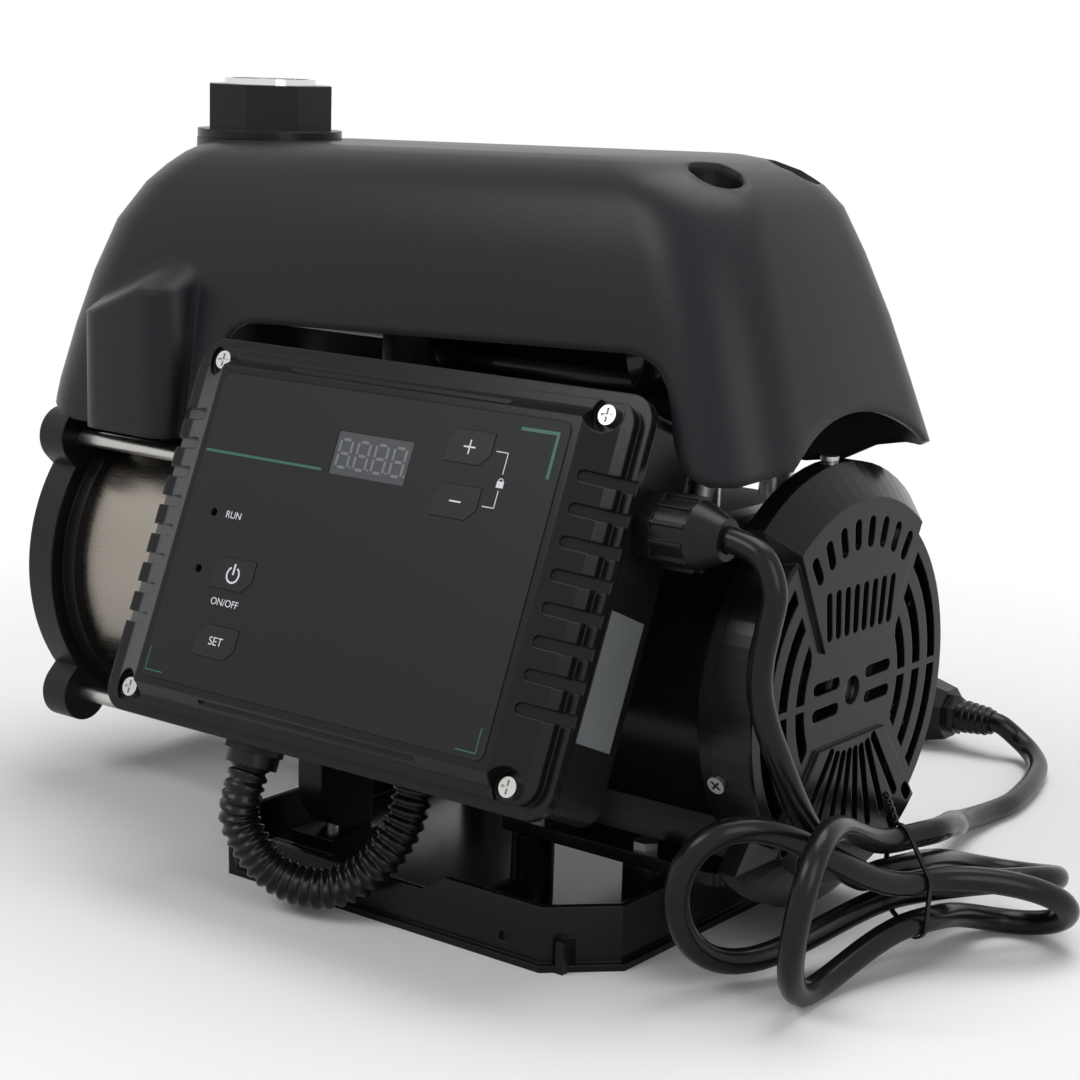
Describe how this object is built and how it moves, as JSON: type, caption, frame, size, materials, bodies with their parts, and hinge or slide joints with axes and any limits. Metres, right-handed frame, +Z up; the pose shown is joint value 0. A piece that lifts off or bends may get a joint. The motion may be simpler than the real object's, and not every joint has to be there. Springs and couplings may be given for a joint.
{
  "type": "shower pump",
  "caption": "Domestic booster pump for showers: steel multistage water end, fan-cooled motor, moulded hood over the outlet, keypad controller on the front, hanked mains lead.",
  "frame": {"origin": "on the floor under the middle of the base tray", "axes": "+X along the shaft from the water end to the fan, +Z up out of the outlet, -Y towards the controller"},
  "size_m": [0.5451, 0.4814, 0.3625],
  "materials": {
    "cast_black": "satin black paint over a fine cast surface",
    "stainless": "brushed stainless steel",
    "zinc": "bright zinc plate",
    "chrome": "polished chrome",
    "brass": "plain brass",
    "copper": "varnished copper wire",
    "lamination": "bare sheet steel laminations",
    "ceramic": "ground ceramic",
    "rubber": "plain rubber",
    "black_alloy": "satin black paint on die-cast aluminium",
    "black_paint": "gloss black paint on sheet steel",
    "black_plastic": "fine textured black plastic",
    "hood_plastic": "fine grained charcoal plastic",
    "lid_plastic": "fine textured charcoal plastic",
    "brown_plastic": "moulded plastic",
    "grey_plastic": "moulded plastic",
    "conduit_plastic": "ribbed black plastic",
    "overlay": "satin printed film",
    "window": "dark clear window",
    "key_rubber": "domed satin key",
    "lamp": "translucent lamp lens",
    "board": "lacquered circuit board",
    "cord": "satin black rubber sheath",
    "tie": "plain plastic tie",
    "plug_plastic": "moulded black plastic"
  },
  "bodies": {
    "pump": {"suction_cover": "cast_black", "pump_barrel": "stainless", "tie_rods": "zinc", "tie_rod_nuts": "zinc", "diffusers": "grey_plastic", "seal_seat": "ceramic", "pump_bracket": "cast_black", "barrel_o_rings": "rubber", "drain_plug": "brass", "priming_plug": "brass", "motor_housing": "black_alloy", "stator_core": "lamination", "stator_windings": "copper", "front_bearing": "stainless", "rear_bearing": "stainless", "rear_end_shield": "black_alloy", "fan_cover": "black_plastic", "fan_cover_screws": "zinc", "motor_foot": "black_alloy", "outlet_riser": "black_plastic", "outlet_port": "black_plastic", "outlet_insert": "chrome", "check_valve_spring": "stainless", "pressure_sensor": "brass", "pressure_tank": "black_paint", "tank_bracket": "black_alloy", "hood": "hood_plastic", "hood_screws": "zinc", "controller_housing": "black_plastic", "controller_lid": "lid_plastic", "lid_gasket": "rubber", "panel_overlay": "overlay", "display_window": "window", "status_leds": "lamp", "lid_screws": "zinc", "circuit_board": "board", "controller_bracket": "black_alloy", "gland_body": "black_plastic", "gland_nut": "black_plastic", "conduit_fittings": "black_plastic", "conduit_screws": "chrome", "conduit": "conduit_plastic", "base_tray": "black_plastic", "base_bolts": "zinc", "power_cord": "cord", "cord_hank": "cord", "cord_tie": "tie", "plug_lead": "cord", "power_plug": "plug_plastic"},
    "rotor": {"shaft": "stainless", "rotor_core": "lamination", "cooling_fan": "black_plastic", "impellers": "brown_plastic", "seal_rotating": "rubber"},
    "valve": {"check_valve_poppet": "black_plastic"},
    "key_power": {"key_power": "key_rubber"},
    "key_set": {"key_set": "key_rubber"},
    "key_plus": {"key_plus": "key_rubber"},
    "key_minus": {"key_minus": "key_rubber"}
  },
  "joints": [
    {"name": "rotor_spin", "type": "hinge", "parent": "pump", "child": "rotor", "pos_m": [0, 0, 0.113], "axis": [1, 0, 0], "continuous": true},
    {"name": "key_power_press", "type": "slide", "parent": "pump", "child": "key_power", "axis": [0, 0.9253, -0.3791], "range_m": [0, 0.0005], "stiffness_N_per_m": 1200},
    {"name": "key_set_press", "type": "slide", "parent": "pump", "child": "key_set", "axis": [0, 0.9253, -0.3791], "range_m": [0, 0.0005], "stiffness_N_per_m": 1200},
    {"name": "key_plus_press", "type": "slide", "parent": "pump", "child": "key_plus", "axis": [0, 0.9253, -0.3791], "range_m": [0, 0.0005], "stiffness_N_per_m": 1200},
    {"name": "key_minus_press", "type": "slide", "parent": "pump", "child": "key_minus", "axis": [0, 0.9253, -0.3791], "range_m": [0, 0.0005], "stiffness_N_per_m": 1200},
    {"name": "check_valve_lift", "type": "slide", "parent": "pump", "child": "valve", "axis": [0, 0, 1], "range_m": [0, 0.006], "stiffness_N_per_m": 150, "deforming": ["check_valve_spring"]}
  ]
}
